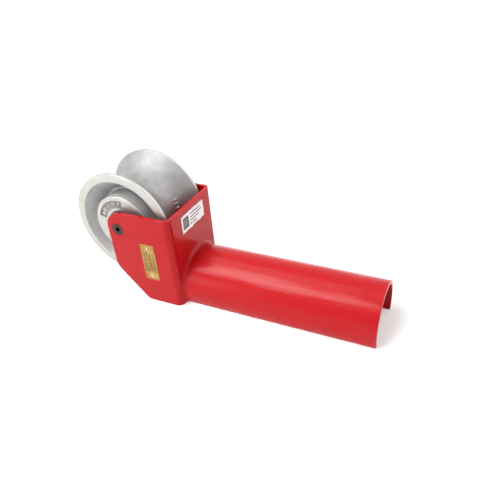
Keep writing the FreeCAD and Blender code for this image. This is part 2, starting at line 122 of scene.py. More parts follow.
def add(tree, kind, inputs=None, **settings):
    """Adds a node, sets its properties, and sets or links its inputs."""
    made = tree.nodes.new(kind)
    for name, value in settings.items():
        setattr(made, name, value)
    for socket, value in (inputs or {}).items():
        if isinstance(value, bpy.types.NodeSocket):
            tree.links.new(value, made.inputs[socket])
        else:
            made.inputs[socket].default_value = value
    return made


def new_finish(name):
    """Adds an empty material. Gives its tree, and the coordinates in metres that its patterns use."""
    material = bpy.data.materials.new(name)
    material.use_nodes = True
    tree = material.node_tree
    tree.nodes.clear()
    FINISHES[name] = material
    return tree, add(tree, "ShaderNodeTexCoord").outputs["Object"]


def per_mm(size):
    """The scale of a pattern whose features are this many millimetres wide."""
    return 1 / (size * MM)


# Finishes

def red_enamel(name, streak_height, roughness):
    """Gloss enamel sprayed on steel: a wet shine over deep red, broken by a soft orange peel.

    The steel's lengthwise mill streaks show through it, and a haze of dust pales it at low angles.
    """
    tree, place = new_finish(name)
    drift = add(tree, "ShaderNodeTexNoise", {"Vector": place, "Scale": per_mm(70), "Detail": 2})
    colour = add(tree, "ShaderNodeMix", {
        FACTOR: drift.outputs["Fac"], FIRST: srgb("#BB1118"), SECOND: srgb("#C6151D")}, data_type="RGBA")
    sheet = add(tree, "ShaderNodeTexNoise", {"Vector": place, "Scale": per_mm(40), "Detail": 1})
    waves = add(tree, "ShaderNodeBump", {
        "Height": sheet.outputs["Fac"], "Strength": 0.6, "Distance": 2 * MM})
    lengthwise = add(tree, "ShaderNodeMapping", {"Vector": place, "Scale": (0.05, 1, 1)})
    streak = add(tree, "ShaderNodeTexNoise", {
        "Vector": lengthwise.outputs[0], "Scale": per_mm(4), "Detail": 2})
    streaks = add(tree, "ShaderNodeBump", {
        "Height": streak.outputs["Fac"], "Strength": 0.5, "Distance": streak_height,
        "Normal": waves.outputs[0]})
    peel = add(tree, "ShaderNodeTexNoise", {"Vector": place, "Scale": per_mm(3.5), "Detail": 1})
    bump = add(tree, "ShaderNodeBump", {
        "Height": peel.outputs["Fac"], "Strength": 0.35, "Distance": 0.09 * MM,
        "Normal": streaks.outputs[0]})
    haze = add(tree, "ShaderNodeTexNoise", {"Vector": place, "Scale": per_mm(18), "Detail": 3})
    rough = add(tree, "ShaderNodeMapRange", {
        "Value": haze.outputs["Fac"], "To Min": roughness, "To Max": roughness + 0.12})
    shader = add(tree, "ShaderNodeBsdfPrincipled", {
        "Base Color": colour.outputs[MIXED], "Roughness": rough.outputs[0],
        "Normal": bump.outputs[0], "IOR": 1.3, "Sheen Weight": 0.08, "Sheen Roughness": 0.3})
    add(tree, "ShaderNodeOutputMaterial", {"Surface": shader.outputs[0]})


def cast_aluminium(name, light, dark, roughness, metallic):
    """Aluminium cast in sand: a soft grey shine over fine grain, stained, with a few small dark pits."""
    tree, place = new_finish(name)
    drift = add(tree, "ShaderNodeTexNoise", {"Vector": place, "Scale": per_mm(14), "Detail": 5})
    blotch = add(tree, "ShaderNodeMapRange", {
        "Value": drift.outputs["Fac"], "From Min": 0.3, "From Max": 0.7})
    colour = add(tree, "ShaderNodeMix", {
        FACTOR: blotch.outputs[0], FIRST: srgb(dark), SECOND: srgb(light)}, data_type="RGBA")
    # The sand's grain is drawn at 1.2 mm, coarser than the real 0.4 mm, so that it shows
    grain = add(tree, "ShaderNodeTexNoise", {"Vector": place, "Scale": per_mm(1.2), "Detail": 3})
    pit = add(tree, "ShaderNodeTexVoronoi", {"Vector": place, "Scale": per_mm(13), "Randomness": 1})
    inside_pit = add(tree, "ShaderNodeMapRange", {
        "Value": pit.outputs["Distance"], "From Min": 0.02, "From Max": 0.08, "To Min": 0.8, "To Max": 0})
    # The pits are coloured darker than the metal round them
    darker_in_pits = add(tree, "ShaderNodeMix", {
        FACTOR: inside_pit.outputs[0], FIRST: colour.outputs[MIXED],
        SECOND: srgb("#6B6764")}, data_type="RGBA")
    relief = add(tree, "ShaderNodeMath", {
        0: grain.outputs["Fac"], 1: inside_pit.outputs[0]}, operation="SUBTRACT")
    bump = add(tree, "ShaderNodeBump", {
        "Height": relief.outputs[0], "Strength": 0.5, "Distance": 0.12 * MM})
    rough = add(tree, "ShaderNodeMapRange", {
        "Value": drift.outputs["Fac"], "To Min": roughness - 0.04, "To Max": roughness + 0.04})
    shader = add(tree, "ShaderNodeBsdfPrincipled", {
        "Base Color": darker_in_pits.outputs[MIXED], "Metallic": metallic, "Roughness": rough.outputs[0],
        "Normal": bump.outputs[0]})
    add(tree, "ShaderNodeOutputMaterial", {"Surface": shader.outputs[0]})


def turned_aluminium():
    """Cast aluminium faced on a lathe: bright, with fine rings round the axle that spread its shine."""
    tree, place = new_finish("turned_aluminium")
    around = add(tree, "ShaderNodeVectorMath", {0: place, 1: AXLE}, operation="SUBTRACT")
    flat = add(tree, "ShaderNodeVectorMath", {0: around.outputs[0], 1: (1, 0, 1)}, operation="MULTIPLY")
    radius = add(tree, "ShaderNodeVectorMath", {0: flat.outputs[0]}, operation="LENGTH")
    # The tool's feed is drawn at 0.9 mm, coarser than the real 0.2 mm, so that it shows
    turns = add(tree, "ShaderNodeMath", {0: radius.outputs["Value"], 1: per_mm(0.9)}, operation="MULTIPLY")
    rings = add(tree, "ShaderNodeTexNoise", {
        "W": turns.outputs[0], "Scale": 1, "Detail": 1}, noise_dimensions="1D")
    drift = add(tree, "ShaderNodeTexNoise", {"Vector": place, "Scale": per_mm(9), "Detail": 4})
    colour = add(tree, "ShaderNodeMix", {
        FACTOR: drift.outputs["Fac"], FIRST: srgb("#B2B1AB"), SECOND: srgb("#C7C6C0")}, data_type="RGBA")
    bump = add(tree, "ShaderNodeBump", {
        "Height": rings.outputs["Fac"], "Strength": 0.5, "Distance": 0.05 * MM})
    shader = add(tree, "ShaderNodeBsdfPrincipled", {
        "Base Color": colour.outputs[MIXED], "Metallic": 0.8, "Roughness": 0.42,
        "Normal": bump.outputs[0]})
    add(tree, "ShaderNodeOutputMaterial", {"Surface": shader.outputs[0]})


def worked_metal(name, light, dark, roughness):
    """A rolled, ground or plated metal: fine scratches one way, and a little staining."""
    tree, place = new_finish(name)
    drift = add(tree, "ShaderNodeTexNoise", {"Vector": place, "Scale": per_mm(12), "Detail": 4})
    stain = add(tree, "ShaderNodeMapRange", {
        "Value": drift.outputs["Fac"], "From Min": 0.35, "From Max": 0.65})
    colour = add(tree, "ShaderNodeMix", {
        FACTOR: stain.outputs[0], FIRST: srgb(dark), SECOND: srgb(light)}, data_type="RGBA")
    stretched = add(tree, "ShaderNodeMapping", {"Vector": place, "Scale": (1, 8, 1)})
    scratch = add(tree, "ShaderNodeTexNoise", {
        "Vector": stretched.outputs[0], "Scale": per_mm(2), "Detail": 2})
    bump = add(tree, "ShaderNodeBump", {
        "Height": scratch.outputs["Fac"], "Strength": 0.25, "Distance": 0.03 * MM})
    shader = add(tree, "ShaderNodeBsdfPrincipled", {
        "Base Color": colour.outputs[MIXED], "Metallic": 1, "Roughness": roughness,
        "Normal": bump.outputs[0]})
    add(tree, "ShaderNodeOutputMaterial", {"Surface": shader.outputs[0]})


def coated_paper():
    """White paper under a clear film: nearly white and shiny, with a faint fibre in its surface."""
    tree, place = new_finish("coated_paper")
    fibre = add(tree, "ShaderNodeTexNoise", {"Vector": place, "Scale": per_mm(1.5), "Detail": 3})
    colour = add(tree, "ShaderNodeMix", {
        FACTOR: fibre.outputs["Fac"], FIRST: srgb("#F8F6F4"), SECOND: srgb("#FDFBFA")}, data_type="RGBA")
    bump = add(tree, "ShaderNodeBump", {
        "Height": fibre.outputs["Fac"], "Strength": 0.2, "Distance": 0.02 * MM})
    shader = add(tree, "ShaderNodeBsdfPrincipled", {
        "Base Color": colour.outputs[MIXED], "Roughness": 0.4, "Normal": bump.outputs[0],
        "Coat Weight": 1, "Coat Roughness": 0.2})
    add(tree, "ShaderNodeOutputMaterial", {"Surface": shader.outputs[0]})


def matt_ink(name, light, dark):
    """Printing ink or engraver's filler: matt, with an uneven lay-down."""
    tree, place = new_finish(name)
    lay = add(tree, "ShaderNodeTexNoise", {"Vector": place, "Scale": per_mm(0.8), "Detail": 2})
    colour = add(tree, "ShaderNodeMix", {
        FACTOR: lay.outputs["Fac"], FIRST: srgb(dark), SECOND: srgb(light)}, data_type="RGBA")
    rough = add(tree, "ShaderNodeMapRange", {"Value": lay.outputs["Fac"], "To Min": 0.5, "To Max": 0.7})
    shader = add(tree, "ShaderNodeBsdfPrincipled", {
        "Base Color": colour.outputs[MIXED], "Roughness": rough.outputs[0]})
    add(tree, "ShaderNodeOutputMaterial", {"Surface": shader.outputs[0]})


# The bent plate is rolled flat, so its streaks hardly show; the drawn tube's spread its highlight,
# and its paint is a little duller
red_enamel("plate_enamel", 0.1 * MM, 0.14)
red_enamel("tube_enamel", 0.6 * MM, 0.18)
# Cables have rubbed the groove to a grey shine, and the dish keeps its dull grey casting skin;
# the sunk panels are coloured darker
cast_aluminium("groove_aluminium", "#A9A8A8", "#979594", 0.58, 0.7)
cast_aluminium("dish_aluminium", "#C3C3C3", "#B0B0B0", 0.5, 0.25)
cast_aluminium("panel_aluminium", "#9B9997", "#888684", 0.6, 0.5)
turned_aluminium()
# Ground steel is a clean mid grey, and zinc plate on turned steel is paler, bluer and duller
worked_metal("ground_steel", "#B9BABD", "#A5A6A9", 0.3)
worked_metal("zinc_plate", "#C2C4C8", "#AEB0B4", 0.35)
# A bearing's rings and rollers are polished bright, its cage is turned brass, its shield pressed steel
worked_metal("bearing_steel", "#C6C7CA", "#B6B7BA", 0.2)
worked_metal("cage_brass", "#C8A35B", "#B58F49", 0.35)
worked_metal("shield_steel", "#A9AAAD", "#97989B", 0.3)
# Phosphated spring steel is nearly black and matt
worked_metal("phosphated_steel", "#4A4A4D", "#38383A", 0.5)
# Black oxide turns brown as it ages; socket and head rim get a near black finish, painted shade
worked_metal("black_oxide", "#584A43", "#473B35", 0.5)
worked_metal("painted_shade_oxide", "#1B1918", "#121110", 0.6)
# Rolled brass tarnishes in patches; a nickelled rivet's head stays bright
worked_metal("rolled_brass", "#C4A161", "#A98344", 0.4)
worked_metal("nickelled_rivet", "#C9C3B2", "#A8A190", 0.25)
coated_paper()
# Inks print flat and matt, and the nameplate's filler is a dull brown black
matt_ink("grey_green_ink", "#6F7E77", "#5F6D66")
matt_ink("dark_ink", "#4A474C", "#3C3A3E")
matt_ink("pale_ink", "#B5B2AE", "#A7A49F")
matt_ink("engraving_fill", "#5A4826", "#3F331C")


# Mesh helpers

def new_piece(name, mesh, finishes, body, replaced=()):
    """Makes a piece from a bmesh, with its finishes, the body that it rides on and what it stands for."""
    bmesh.ops.recalc_face_normals(mesh, faces=mesh.faces)
    data = bpy.data.meshes.new(name)
    mesh.to_mesh(data)
    mesh.free()
    data.shade_smooth()
    data.set_sharp_from_angle(angle=math.radians(40))
    for finish in finishes:
        data.materials.append(FINISHES[finish])
    piece = bpy.data.objects.new(name, data)
    bpy.context.scene.collection.objects.link(piece)
    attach(piece, body)
    if replaced:
        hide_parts(*replaced)
    return piece


def soften(piece, width, sharp_deg=32):
    """Rounds a piece's edges by a small width, and keeps its large faces flat in the light."""
    bevel = piece.modifiers.new("rounded_edges", "BEVEL")
    bevel.width = width
    bevel.segments = 3
    bevel.limit_method = "ANGLE"
    bevel.angle_limit = math.radians(sharp_deg)
    flatten = piece.modifiers.new("flat_faces", "WEIGHTED_NORMAL")
    flatten.weight = 100
    flatten.keep_sharp = True


def fillet_arc(before, here, after, radius, steps):
    """The points of a fillet where two straight runs meet at a corner."""
    back = (before - here).normalized()
    ahead = (after - here).normalized()
    half = back.angle(ahead) / 2
    centre = here + (back + ahead).normalized() * (radius / math.sin(half))
    reach = radius / math.tan(half)
    first = here + back * reach - centre
    last = here + ahead * reach - centre
    sweep = first.angle_signed(last)
    return [centre + Matrix.Rotation(-sweep * step / steps, 2) @ first for step in range(steps + 1)]


def rounded_rectangle(length, width, corner, steps=4):
    """The outline of a rectangle about its middle, with rounded corners."""
    reach = [Vector((x * length / 2, y * width / 2)) for x, y in ((-1, -1), (1, -1), (1, 1), (-1, 1))]
    points = []
    for number, here in enumerate(reach):
        points += fillet_arc(reach[number - 1], here, reach[(number + 1) % 4], corner, steps)
    return points


def join_rings(mesh, rings, finish=0):
    """Joins closed rings of points by side faces and closes both ends, which makes a closed solid."""
    faces = [mesh.faces.new(rings[0]), mesh.faces.new(rings[-1])]
    for ring, after in zip(rings, rings[1:]):
        for step in range(len(ring)):
            following = (step + 1) % len(ring)
            faces.append(mesh.faces.new([ring[step], ring[following], after[following], after[step]]))
    for face in faces:
        face.material_index = finish


def rounded_block(mesh, length, width, corner, levels, place, finish=0):
    """Adds a block with rounded corners. Each level is a height and how far the outline draws in there."""
    rings = []
    for height, inset in levels:
        outline = rounded_rectangle(length - 2 * inset, width - 2 * inset, corner - inset)
        rings.append([mesh.verts.new(place(point.x, point.y, height)) for point in outline])
    join_rings(mesh, rings, finish)


def thin_patch(mesh, columns, reach, front, back, rows, finish=0):
    """Adds a thin closed sheet over a curved face.

    columns are places along it, reach gives the lowest and highest place across at a column, and front
    and back turn places into points.
    """
    grids = []
    for surface in (front, back):
        grid = []
        for along in columns:
            low, high = reach(along)
            spots = [low + (high - low) * row / rows for row in range(rows + 1)]
            grid.append([mesh.verts.new(surface(along, across)) for across in spots])
        grids.append(grid)
    faces = []
    for grid in grids:
        for line, after in zip(grid, grid[1:]):
            for row in range(rows):
                faces.append(mesh.faces.new([line[row], after[row], after[row + 1], line[row + 1]]))
    edges = []
    for grid in grids:
        low_side = [line[0] for line in grid]
        high_side = [line[-1] for line in grid]
        edges.append(low_side + grid[-1][1:-1] + high_side[::-1] + grid[0][-2:0:-1])
    for step in range(len(edges[0])):
        following = (step + 1) % len(edges[0])
        faces.append(mesh.faces.new([
            edges[0][step], edges[0][following], edges[1][following], edges[1][step]]))
    for face in faces:
        face.material_index = finish


# Yoke bracket

def painted_yoke(edge=0.8 * MM):
    """The bent plate with its flat facets joined again and its cut edges rounded by the paint."""
    one_point = 0.001 * MM
    one_plane = math.radians(0.5)
    mesh = bmesh.new()
    mesh.from_mesh(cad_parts["yoke_bracket"].data)
    bmesh.ops.remove_doubles(mesh, verts=mesh.verts, dist=one_point)
    bmesh.ops.dissolve_limit(mesh, verts=mesh.verts, edges=mesh.edges, angle_limit=one_plane)
    piece = new_piece("painted_yoke", mesh, ["plate_enamel"], "frame", ["yoke_bracket"])
    soften(piece, edge)


# Spigot and its weld

def angle_at_cut(radius):
    """Where a circle of this radius meets the cut plane, measured from the tube's lowest point."""
    return math.acos(-FLOOR / radius)


def cut_wander(along, side):
    """How far a hand-cut lower edge rises above the cut plane, on each side in its own way."""
    fade = 8 * MM
    wave_length = 13 * MM
    mean_rise = 0.3 * MM
    swing = 0.6 * MM
    near_end = min(1, along / fade, (SPIGOT_HIGH.x - along) / fade)
    wander = noise.noise(Vector((along / wave_length, side * 5, 0)))
    return max(0, mean_rise + swing * wander) * near_end


def painted_spigot(steps=120, rows=110, edge=0.7 * MM):
    """The tube, with the slight unevenness of its hand-cut lower edges."""
    uneven_height = 4 * MM
    outline = []
    for radius, reverse in ((SPIGOT_RADIUS, False), (SPIGOT_RADIUS - TUBE_WALL, True)):
        start = angle_at_cut(radius)
        arc = [start + step / steps * 2 * (math.pi - start) for step in range(steps + 1)]
        if reverse:
            arc.reverse()
        outline += [(radius * math.sin(angle), -radius * math.cos(angle)) for angle in arc]
    mesh = bmesh.new()
    rings = []
    for row in range(rows + 1):
        along = SPIGOT_HIGH.x * row / rows
        ring = []
        for y, z in outline:
            share = max(0, 1 - (z - FLOOR) / uneven_height)
            ring.append(mesh.verts.new((along, y, z + share * cut_wander(along, math.copysign(1, y)))))
        rings.append(ring)
    join_rings(mesh, rings)
    piece = new_piece("painted_spigot", mesh, ["tube_enamel"], "frame", ["duct_spigot"])
    soften(piece, edge)


def plate_drop(y):
    """How far the back plate's outer face has curved away at this place across it."""
    past = abs(y) - (HALF_YOKE - BEND_RADIUS)
    if past <= 0:
        return 0
    return BEND_RADIUS - math.sqrt(BEND_RADIUS ** 2 - past ** 2)


def painted_weld(steps=300, across=12):
    """A hollow fillet bead round the spigot, with the soft ripples that the paint leaves showing."""
    ripple = 0.22 * MM
    ripple_pitch = 4.5 * MM
    wave_length = 9 * MM
    mean_shortfall = 0.7 * MM
    swing = 0.6 * MM
    hollow = 0.24
    diagonal = math.sqrt(0.5)
    sunk = 0.5 * MM
    edge = angle_at_cut(SPIGOT_RADIUS + WELD_LEG)
    mesh = bmesh.new()
    rings = []
    for step in range(steps + 1):
        angle = edge + step / steps * 2 * (math.pi - edge)
        along = angle * SPIGOT_RADIUS
        wave = ripple * (0.5 + 0.5 * math.cos(2 * math.pi * along / ripple_pitch))
        leg = WELD_LEG - mean_shortfall - swing * noise.noise(Vector((along / wave_length, 0, 0)))
        drop = plate_drop((SPIGOT_RADIUS + leg) * math.sin(angle))
        section = [(-sunk - drop, SPIGOT_RADIUS - sunk), (leg, SPIGOT_RADIUS - sunk)]
        for part in range(across + 1):
            share = part / across
            bulge = (wave - hollow * leg) * math.sin(math.pi * share) * diagonal
            section.append((
                leg * (1 - share) - drop * share + bulge,
                SPIGOT_RADIUS + leg * share + bulge))
        section.append((-sunk - drop, SPIGOT_RADIUS + leg))
        rings.append([
            mesh.verts.new((x, radius * math.sin(angle), max(-radius * math.cos(angle), FLOOR)))
            for x, radius in section])
    join_rings(mesh, rings)
    new_piece("painted_weld", mesh, ["plate_enamel"], "frame", ["spigot_weld"])


# Sheave: its finishes are numbered in this order

SHEAVE_FINISHES = ["groove_aluminium", "turned_aluminium", "dish_aluminium", "panel_aluminium"]
GROOVE, TURNED, DISH, PANEL = range(4)


def groove_floor(y):
    """The groove's radius from the axle at a place across it."""
    if abs(y) <= GROOVE_SIDE:
        return AXLE.z - math.sqrt(GROOVE_RADIUS ** 2 - y ** 2)
    return GROOVE_ROOT + GROOVE_RADIUS * (1 - math.cos(FLARE)) + (abs(y) - GROOVE_SIDE) * math.tan(FLARE)


def half_section():
    """Corners of the far half's section, from the bore to the rim.

    Each is a radius, a distance from the middle, a fillet and the finish of the run that follows.
    """
    seat = (RACE_HIGH.z - RACE_LOW.z) / 2 + SEAT_CLEARANCE
    ring_out = CIRCLIP_HIGH.y
    ring_in = ring_out - CIRCLIP_GAP
    dish_bottom = HALF_SHEAVE - DISH_DEPTH
    panel = [PANEL_INNER, PANEL_INNER + PANEL_DRAFT, PANEL_OUTER - PANEL_DRAFT, PANEL_OUTER]
    bore_edge = 0.5 * MM
    hub_edge = 1.2 * MM
    dish_fillet = 1.9 * MM
    rim_edge = 1 * MM
    rim_corner = 1.3 * MM
    return [
        (seat - SHOULDER_HEIGHT, RACE_LOW.y, 0, TURNED),
        (seat, RACE_LOW.y, 0, TURNED),
        (seat, ring_in, 0, TURNED),
        (seat + CIRCLIP_GRIP, ring_in, 0, TURNED),
        (seat + CIRCLIP_GRIP, ring_out, 0, TURNED),
        (seat, ring_out, 0, TURNED),
        (seat, HALF_SHEAVE, bore_edge, TURNED),
    ] + [(radius, HALF_SHEAVE, 0, TURNED) for radius in panel] + [
        (HUB_RADIUS, HALF_SHEAVE, hub_edge, DISH),
        (HUB_RADIUS, dish_bottom, dish_fillet, DISH),
        (HUB_RADIUS + DISH_FLOOR, dish_bottom, dish_fillet, DISH),
        (RIM_RADIUS - RIM_FACE, HALF_SHEAVE, rim_edge, TURNED),
        (RIM_RADIUS, HALF_SHEAVE, rim_corner, TURNED),
        (RIM_RADIUS, HALF_SHEAVE - RIM_LAND, rim_edge, GROOVE),
    ]


def whole_section(groove_steps=56, fillet_steps=5):
    """The closed section as (radius, distance along Y, finish of the run that follows)."""
    far = half_section()
    groove = []
    for step in range(groove_steps + 1):
        y = GROOVE_RADIUS * math.sin(FLARE * (1 - 2 * step / groove_steps))
        groove.append((groove_floor(y), y, 0, GROOVE))
    near = [
        (radius, -y, fillet, far[place - 1][3] if place else TURNED)
        for place, (radius, y, fillet, _) in reversed(list(enumerate(far)))]
    corners = far + groove + near
    points = []
    for number, (radius, y, fillet, finish) in enumerate(corners):
        here = Vector((radius, y))
        if fillet == 0:
            points.append((here, finish))
            continue
        before = corners[number - 1]
        after = corners[(number + 1) % len(corners)]
        arc = fillet_arc(Vector(before[:2]), here, Vector(after[:2]), fillet, fillet_steps)
        arc_finish = TURNED if TURNED in (before[3], finish) else finish
        points += [(point, arc_finish) for point in arc[:-1]]
        points.append((arc[-1], finish))
    return points


def inside_panel(radius, angle):
    """Whether a place on the hub's face lies in its sunk panel."""
    across = PANEL_INNER < radius < PANEL_OUTER
    return across and PANEL_START < angle < PANEL_START + PANEL_SWEEP


def cast_sheave(turns=288):
    """The sheave with its fillets, turned faces and sunk panels."""
    section = whole_section()
    draft_turn = PANEL_DRAFT / PANEL_OUTER
    end = PANEL_START + PANEL_SWEEP
    edges = {PANEL_START, PANEL_START + draft_turn, end - draft_turn, end}
    angles = sorted({2 * math.pi * step / turns for step in range(turns)} | edges)

    def recess(radius, angle):
        """How deep the panel is here, from none at its border to all of it past its draft."""
        across = min(radius - PANEL_INNER, PANEL_OUTER - radius) / PANEL_DRAFT
        along = min(angle - PANEL_START, end - angle) / draft_turn
        return PANEL_DEPTH * max(0, min(1, across, along))

    mesh = bmesh.new()
    rings = []
    for angle in angles:
        ring = []
        for point, _ in section:
            along = point.y
            if abs(abs(along) - HALF_SHEAVE) < FACE_TOLERANCE:
                along -= math.copysign(recess(point.x, angle), along)
            ring.append(mesh.verts.new((
                AXLE.x + point.x * math.cos(angle),
                AXLE.y + along,
                AXLE.z + point.x * math.sin(angle))))
        rings.append(ring)
    next_angles = angles[1:] + [2 * math.pi]
    for number, ring in enumerate(rings):
        after = rings[(number + 1) % len(rings)]
        turn = (angles[number] + next_angles[number]) / 2
        for step, (point, finish) in enumerate(section):
            following = (step + 1) % len(section)
            face = mesh.faces.new([ring[step], after[step], after[following], ring[following]])
            middle = (point + section[following][0]) / 2
            on_face = abs(middle.y) > HALF_SHEAVE - FACE_TOLERANCE
            face.material_index = PANEL if on_face and inside_panel(middle.x, turn) else finish
    new_piece("cast_sheave", mesh, SHEAVE_FINISHES, "sheave", ["sheave"])


def axle_directions(angle):
    """The directions away from the axle and round it, at an angle from +X towards +Z."""
    out = Vector((math.cos(angle), 0, math.sin(angle)))
    around = Vector((-math.sin(angle), 0, math.cos(angle)))
    return out, around


def panel_marks():
    """Plain raised marks in the hub's sunk panels: each | is a bar, each . a stud and each space a gap."""
    mesh = bmesh.new()
    row_radius = (PANEL_INNER + PANEL_OUTER) / 2
    pattern = "|.|| .| ||. |"
    lengths = {"|": 6.2 * MM, ".": 2 * MM}
    breadth = 2 * MM
    corner = 0.9 * MM
    first = math.radians(157)
    pitch = math.radians(5.6)
    floor = HALF_SHEAVE - PANEL_DEPTH
    levels = [(-0.2 * MM, 0), (0.5 * MM, 0), (0.9 * MM, 0.4 * MM)]
    for side in (-1, 1):
        for number, mark in enumerate(pattern):
            if mark == " ":
                continue
            out, around = axle_directions(first - number * pitch)
            centre = AXLE + out * row_radius + Vector((0, side * floor, 0))

            def place(u, v, height):
                return centre + out * u + around * v + Vector((0, side * height, 0))

            rounded_block(mesh, lengths[mark], breadth, corner, levels, place)
    new_piece("panel_marks", mesh, ["turned_aluminium"], "sheave")


def groove_marks():
    """A row of plain raised bars on the groove's floor."""
    mesh = bmesh.new()
    count = 5
    first = math.radians(19.5)
    pitch = math.radians(6.5)
    middle = 15 * MM
    length = 7 * MM
    breadth = 3.4 * MM
    corner = 1.5 * MM
    levels = [(-0.6 * MM, 0), (0.8 * MM, 0), (1.2 * MM, 0.4 * MM)]
    for number in range(count):
        out, around = axle_directions(first - number * pitch)

        def place(u, v, height):
            y = middle + u
            return AXLE + out * (groove_floor(y) + height) + around * v + Vector((0, y, 0))

        rounded_block(mesh, length, breadth, corner, levels, place)
    new_piece("groove_marks", mesh, ["turned_aluminium"], "sheave")


# Axle screws

def hexagon(apothem):
    """The radius of a hexagon at each angle round the screw."""
    def radius_at(angle):
        turn = (angle - HEX_TURN) % math.radians(60) - math.radians(30)
        return apothem / math.cos(turn)
    return radius_at


def circle_of(radius):
    """The radius of a circle at each angle round the screw."""
    return lambda angle: radius


def axle_screws(points=96):
    """Flush flat-head screws with a chamfered edge, a hexagon socket, and painted shade in the socket and
    at the rim.
    """
    head = (SCREW_HIGH.z - SCREW_LOW.z) / 2
    sunk = 0.15 * MM
    edge = 0.5 * MM
    chamfer = 0.5 * MM
    tip = 0.4 * MM
    tip_depth = 1 * MM
    black, painted_shade = range(2)
    # Each level is an outline and its depth in the side plate, from the shank's end to the socket's tip
    levels = [
        (circle_of(SCREW_SHANK), SCREW_LENGTH),
        (circle_of(SCREW_SHANK), head - SCREW_SHANK),
        (circle_of(head - edge), edge),
        (circle_of(head - 0.7 * edge), 0.6 * edge),
        (circle_of(head - 1.1 * edge), sunk),
        (circle_of(head * 0.72), sunk),
        (circle_of(HEX_APOTHEM * 1.4), sunk),
        (hexagon(HEX_APOTHEM + chamfer), sunk),
        (hexagon(HEX_APOTHEM), sunk + chamfer),
        (hexagon(HEX_APOTHEM), HEX_DEPTH),
        (circle_of(tip), HEX_DEPTH + tip_depth),
    ]
    mesh = bmesh.new()
    for side in (-1, 1):
        rings = []
        for radius_at, depth in levels:
            ring = []
            for step in range(points):
                angle = HEX_TURN + 2 * math.pi * step / points
                radius = radius_at(angle)
                ring.append(mesh.verts.new((
                    AXLE.x + radius * math.cos(angle),
                    side * (HALF_YOKE - depth),
                    AXLE.z + radius * math.sin(angle))))
            rings.append(ring)
        join_rings(mesh, rings)
    for face in mesh.faces:
        middle = face.calc_center_median() - AXLE
        depth = HALF_YOKE - abs(middle.y)
        below_face = sunk + FACE_TOLERANCE < depth < HEX_DEPTH + 2 * tip_depth
        in_socket = below_face and middle.xz.length < HEX_APOTHEM * 1.3
        at_rim = middle.xz.length > head - 1.2 * edge
        # Socket walls and the head's rim take the near black finish: painted shade in the socket and in
        # the gap round the head
        face.material_index = painted_shade if in_socket or at_rim else black
    new_piece(
        "flat_head_screws", mesh, ["black_oxide", "painted_shade_oxide"],
        "frame", ["axle_screws"])


# Nameplate and its rivets

def on_plate(x, z, height):
    """A point over the nameplate's middle: x and z along the side plate, height out from it."""
    middle = (PLATE_LOW + PLATE_HIGH) / 2
    return Vector((middle.x + x, PLATE_HIGH.y - height, middle.z + z))


def brass_nameplate():
    """A thin brass plate with a ruled border and rows of plain filled dashes."""
    length = PLATE_HIGH.z - PLATE_LOW.z
    breadth = PLATE_HIGH.x - PLATE_LOW.x
    thick = PLATE_HIGH.y - PLATE_LOW.y
    corner = 1.5 * MM
    border = 1.5 * MM
    rule = 0.45 * MM
    rows = 4
    row_pitch = 4.8 * MM
    row_width = 2.7 * MM
    row_end = 18.5 * MM
    brass, filler = range(2)
    levels = [
        (FACE_TOLERANCE, 0), (thick - 0.2 * MM, 0), (thick - 0.05 * MM, 0.06 * MM), (thick, 0.22 * MM)]
    fill_levels = [(thick - 0.1 * MM, 0), (thick + 0.02 * MM, 0), (thick + 0.04 * MM, 0.04 * MM)]
    fill_corner = 0.12 * MM
    mesh = bmesh.new()
    rounded_block(mesh, breadth, length, corner, levels, on_plate, brass)

    def filled_dash(x, z, wide, high):
        def place(u, v, height):
            return on_plate(x + u, z + v, height)

        rounded_block(mesh, wide, high, fill_corner, fill_levels, place, filler)

    for side in (-1, 1):
        filled_dash(side * (breadth / 2 - border), 0, rule, length - 2 * border)
        filled_dash(0, side * (length / 2 - border), breadth - 2 * border, rule)
    for row in range(rows):
        x = (row - (rows - 1) / 2) * row_pitch
        z = -row_end + rng.uniform(0, 3) * MM
        last = row_end - rng.uniform(0, 7) * MM
        while z < last:
            dash = rng.choice((1.5, 1.5, 2.2, 3.4)) * MM
            filled_dash(x, z + dash / 2, row_width, dash)
            z += dash + rng.choice((0.8, 0.8, 1.8)) * MM
    new_piece(
        "brass_nameplate", mesh, ["rolled_brass", "engraving_fill"],
        "frame", ["nameplate"])


def domed_rivets(points=48):
    """Two rivets with low domed heads and shanks that end flush inside the side plate."""
    head = (RIVET_HIGH.x - RIVET_LOW.x) / 2
    seat = PLATE_LOW.y
    rise = seat - RIVET_LOW.y
    centre_x = (RIVET_LOW.x + RIVET_HIGH.x) / 2
    dome_steps = 9
    top_radius = 0.1 * MM
    profile = [(RIVET_SHANK, -HALF_YOKE + SHEET_WALL), (RIVET_SHANK, seat), (head, seat)]
    for step in range(1, dome_steps):
        turn = math.pi / 2 * step / dome_steps
        profile.append((head * math.cos(turn), seat - rise * math.sin(turn)))
    profile.append((top_radius, seat - rise))
    turns = [2 * math.pi * step / points for step in range(points)]
    mesh = bmesh.new()
    for centre_z in (RIVET_LOW.z + head, RIVET_HIGH.z - head):
        rings = []
        for radius, y in profile:
            rings.append([
                mesh.verts.new((
                    centre_x + radius * math.cos(turn), y, centre_z + radius * math.sin(turn)))
                for turn in turns])
        join_rings(mesh, rings)
    new_piece("domed_rivets", mesh, ["nickelled_rivet"], "frame", ["nameplate_rivets"])


# Paper label

def label_face(y, z):
    """The front of the label, which lifts and cockles a little from the plate."""
    cockle_length = 11 * MM
    cockle_height = 9 * MM
    mean_lift = 0.5 * MM
    swing = 0.9 * MM
    cockle = noise.noise(Vector((y / cockle_length, z / cockle_height, 2)))
    return LABEL_HIGH.x + mean_lift + swing * cockle


def label_cut(along, seed):
    """How far an uneven edge of the label runs inside its outline, each edge with a seed of its own."""
    wave_length = 12 * MM
    mean_cut = 0.5 * MM
    swing = 1.1 * MM
    return max(0, mean_cut + swing * noise.noise(Vector((along / wave_length, seed, 0))))


